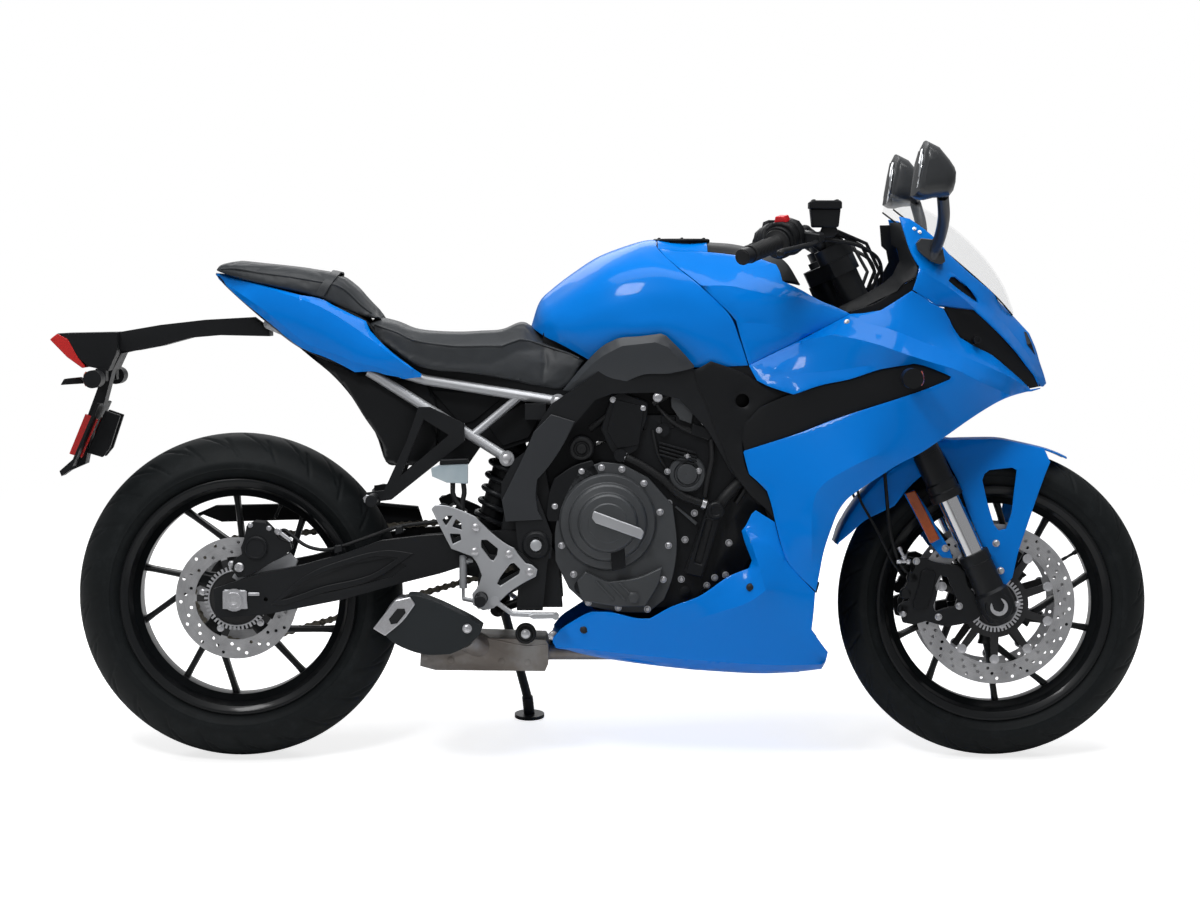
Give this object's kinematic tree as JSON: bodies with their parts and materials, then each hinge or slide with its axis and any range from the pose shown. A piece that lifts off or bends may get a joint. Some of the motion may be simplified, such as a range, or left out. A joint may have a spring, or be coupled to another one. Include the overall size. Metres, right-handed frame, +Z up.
{
  "type": "sport motorcycle",
  "caption": "Faired sport motorcycle parked on its side stand, with turning wheels, steering, a folding stand and a hinged fuel cap.",
  "frame": {"origin": "on the ground, at the middle of the bounding box of the leaning motorcycle", "axes": "+X towards the front wheel, +Y to the rider's left, +Z up; the motorcycle leans 10 degrees to +Y on its side stand"},
  "size_m": [2.1229, 0.7908, 1.2333],
  "materials": {
    "paint": "gloss azure",
    "black_plastic": "satin",
    "seat_cover": "grained vinyl",
    "rubber": "matt",
    "tyre": "matt",
    "black_metal": "satin",
    "grey_metal": "satin",
    "silver": "satin",
    "steel": "brushed",
    "chrome": "polished",
    "stainless": "heat tinted",
    "amber": "clear amber",
    "red_lens": "clear red",
    "clear": "clear",
    "chain": "oiled"
  },
  "bodies": {
    "chassis": {"brake_reservoir": "clear", "chain_guard": "black_plastic", "coolant_hose": "rubber", "cowl_stay": "black_metal", "dash": "black_plastic", "drive_chain": "chain", "engine_block": "black_metal", "engine_covers": "grey_metal", "exhaust": "stainless", "foot_levers": "silver", "frame_beams": "black_metal", "fuel_tank": "paint", "headlight": "clear", "indicators": "amber", "lower_cowls": "paint", "main_frame": "black_metal", "mirrors": "black_plastic", "passenger_pegs": "black_metal", "passenger_seat": "seat_cover", "plate_bracket": "black_plastic", "radiator": "black_metal", "rear_axle": "steel", "rear_brake_hose": "rubber", "rear_caliper": "black_metal", "rear_shock": "black_metal", "rearsets": "silver", "rider_seat": "seat_cover", "side_cowls": "paint", "silencer": "black_metal", "subframe": "silver", "swingarm": "black_metal", "tail_cowl": "paint", "tail_lamp_arm": "black_plastic", "tail_lens": "red_lens", "tank_front_cover": "paint", "trim_panels": "black_plastic", "undertail": "black_plastic", "upper_cowl": "paint", "windscreen": "clear"},
    "steering": {"fork_outer_tubes": "black_metal", "fork_legs": "chrome", "triple_clamps": "black_metal", "handlebars": "black_metal", "grips": "rubber", "hand_controls": "black_plastic", "front_axle": "steel", "front_calipers": "black_metal", "front_fender": "paint", "steering_hoses": "rubber"},
    "front_wheel": {"front_tyre": "tyre", "front_rim": "black_metal", "front_discs": "steel"},
    "rear_wheel": {"rear_tyre": "tyre", "rear_rim": "black_metal", "rear_disc": "steel", "rear_sprocket": "steel"},
    "stand": {"side_stand": "black_metal"},
    "cap": {"fuel_cap": "black_metal"}
  },
  "joints": [
    {"name": "steering", "type": "hinge", "parent": "chassis", "child": "steering", "pos_m": [0.47845, -0.04507, 0.81895], "axis": [-0.4226, 0.1574, 0.8925], "range_deg": [-27, 27]},
    {"name": "front_wheel_spin", "type": "hinge", "parent": "steering", "child": "front_wheel", "pos_m": [0.7615, -0.13711, 0.29697], "axis": [0, 0.9848, -0.1736], "continuous": true},
    {"name": "rear_wheel_spin", "type": "hinge", "parent": "chassis", "child": "rear_wheel", "pos_m": [-0.7035, -0.13451, 0.31174], "axis": [0, 0.9848, -0.1736], "continuous": true},
    {"name": "side_stand_fold", "type": "hinge", "parent": "chassis", "child": "stand", "pos_m": [-0.1985, -0.02821, 0.26964], "axis": [0.2544, 0.8755, 0.411], "range_deg": [0, 92]},
    {"name": "fuel_cap_hinge", "type": "hinge", "parent": "chassis", "child": "cap", "pos_m": [0.2055, -0.01504, 0.98929], "axis": [0, 0.9848, -0.1736], "range_deg": [0, 80]}
  ]
}
